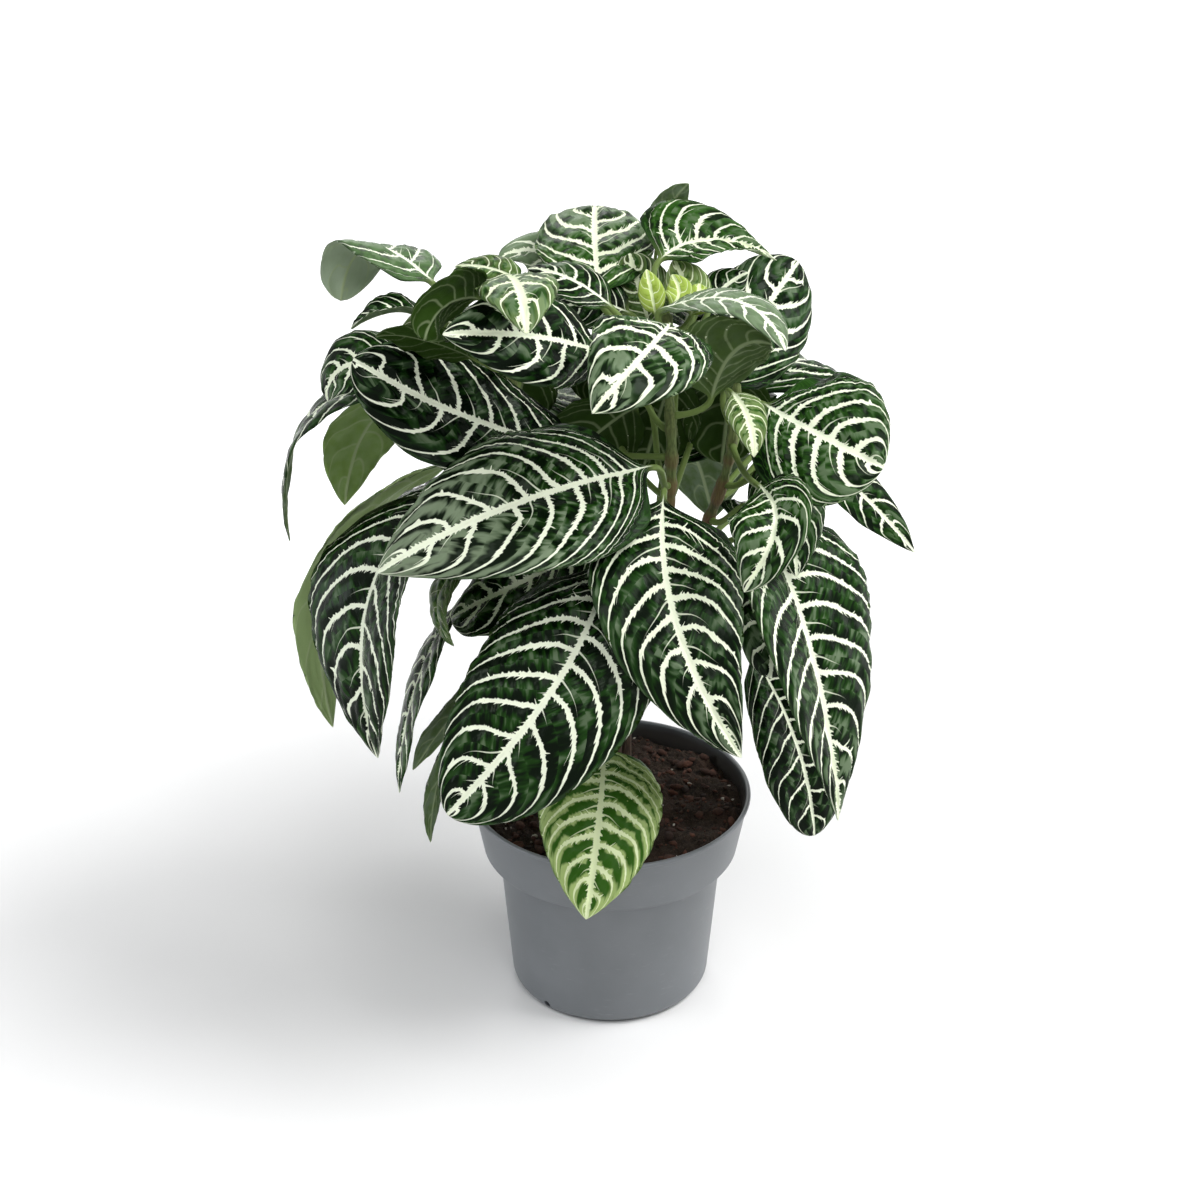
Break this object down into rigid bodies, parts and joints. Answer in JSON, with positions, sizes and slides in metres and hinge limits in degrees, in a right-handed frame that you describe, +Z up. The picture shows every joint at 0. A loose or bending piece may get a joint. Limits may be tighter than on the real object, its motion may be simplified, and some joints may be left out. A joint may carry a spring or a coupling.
{
  "type": "potted zebra plant",
  "caption": "Bushy zebra plant with arched, pointed, white-veined leaves on upright stems, rooted in dark soil in a grey round pot with a stepped rim.",
  "frame": {"origin": "centre of the pot's flat base, on the surface that it stands on", "axes": "+Z up along the pot's axis, -Y towards the plant's front, +X to its right as seen from the front"},
  "size_m": [0.2885, 0.2426, 0.374],
  "materials": {
    "pot": "grey moulded plastic, satin",
    "soil": "dark brown potting mix of peat and bark crumbs with white grains",
    "stem": "red-brown bark low down, green-brown higher up",
    "leaf": "glossy dark green with cream midrib and side veins, paler and duller below",
    "young_leaf": "yellow-green with cream veins"
  },
  "bodies": {
    "root": {"pot": "pot", "soil": "soil", "main_stem": "stem", "left_stem": "stem", "right_stem": "stem", "leaf_01": "leaf", "leaf_02": "leaf", "leaf_03": "leaf", "leaf_04": "leaf", "leaf_05": "leaf", "leaf_06": "leaf", "leaf_07": "leaf", "leaf_08": "leaf", "leaf_09": "leaf", "leaf_10": "leaf", "leaf_11": "leaf", "leaf_12": "leaf", "leaf_13": "leaf", "leaf_14": "leaf", "leaf_15": "leaf", "leaf_16": "leaf", "leaf_17": "leaf", "leaf_18": "leaf", "leaf_19": "leaf", "leaf_20": "leaf", "leaf_21": "leaf", "leaf_22": "leaf", "leaf_23": "leaf", "leaf_24": "leaf", "leaf_25": "leaf", "leaf_26": "leaf", "leaf_27": "young_leaf", "leaf_28": "leaf", "leaf_29": "leaf", "leaf_30": "leaf", "leaf_31": "leaf", "leaf_32": "young_leaf", "leaf_33": "leaf", "leaf_34": "leaf", "leaf_35": "leaf", "leaf_36": "leaf", "leaf_37": "leaf", "leaf_38": "leaf", "leaf_39": "leaf", "leaf_40": "leaf", "leaf_41": "leaf", "leaf_42": "leaf", "leaf_43": "leaf", "leaf_44": "leaf", "leaf_45": "leaf", "leaf_46": "leaf", "leaf_47": "leaf", "leaf_48": "leaf", "leaf_49": "leaf", "leaf_50": "young_leaf", "leaf_51": "young_leaf", "leaf_52": "young_leaf", "leaf_53": "leaf", "leaf_54": "leaf", "leaf_55": "leaf"}
  },
  "joints": []
}
